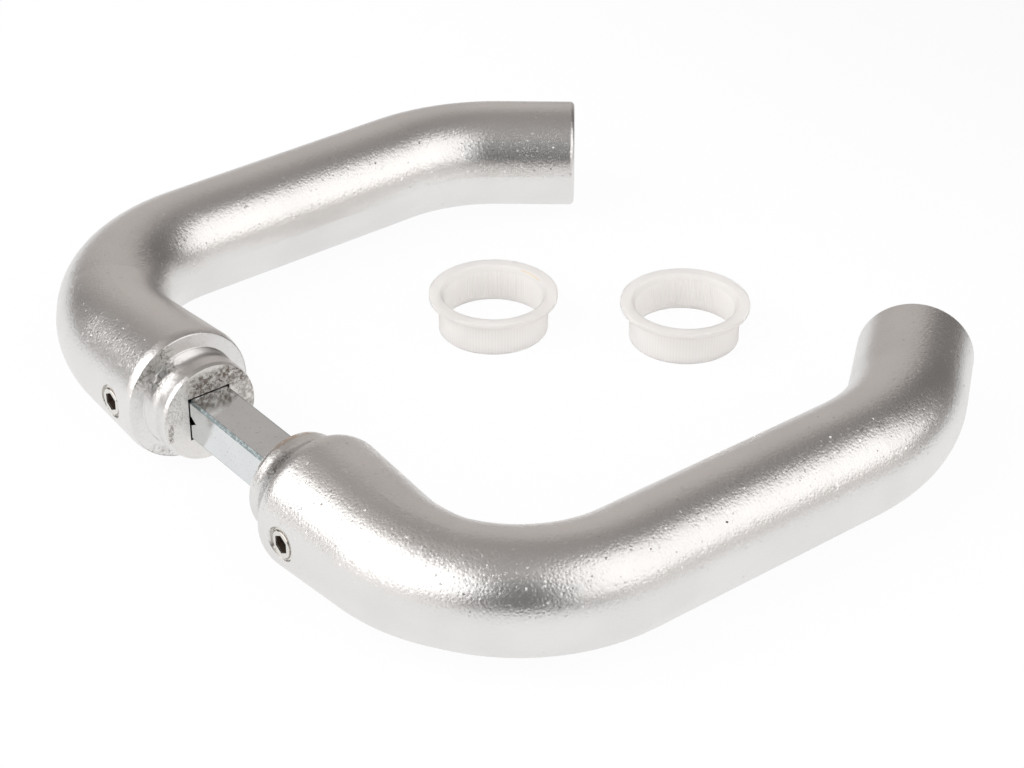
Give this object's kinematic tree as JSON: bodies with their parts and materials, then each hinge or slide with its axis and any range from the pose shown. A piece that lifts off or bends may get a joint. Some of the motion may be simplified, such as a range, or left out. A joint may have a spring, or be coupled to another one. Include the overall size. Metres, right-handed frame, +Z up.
{
  "type": "gate lever handle",
  "caption": "Bent aluminium gate levers with turned necks on a square steel spindle, clamped by set screws, with loose flanged nylon guide bushes.",
  "frame": {"origin": "on the spindle's axis, halfway between the two levers", "axes": "+Y along the spindle to the rear lever, +X along the grips, +Z up from the surface that the set lies on"},
  "size_m": [0.1273, 0.1502, 0.0244],
  "materials": {
    "lever": "satin, blasted and anodised",
    "spindle": "zinc plated",
    "screw": "bright zinc plated, dark inside the hexagon socket",
    "bush": "milky natural nylon"
  },
  "bodies": {
    "spindle": {"square_spindle": "spindle", "rear_guide_bush": "bush", "front_guide_bush": "bush"},
    "rear_lever": {"rear_lever": "lever"},
    "front_lever": {"front_lever": "lever"},
    "rear_screw": {"rear_set_screw": "screw"},
    "front_screw": {"front_set_screw": "screw"}
  },
  "joints": [
    {"name": "rear_lever_slide", "type": "slide", "parent": "spindle", "child": "rear_lever", "axis": [0, 1, 0], "range_m": [-0.004, 0.012]},
    {"name": "front_lever_slide", "type": "slide", "parent": "spindle", "child": "front_lever", "axis": [0, -1, 0], "range_m": [-0.004, 0.012]},
    {"name": "rear_screw_travel", "type": "slide", "parent": "rear_lever", "child": "rear_screw", "axis": [-1, 0, 0], "range_m": [0, 0.0035]},
    {"name": "front_screw_travel", "type": "slide", "parent": "front_lever", "child": "front_screw", "axis": [-1, 0, 0], "range_m": [0, 0.0035]}
  ]
}
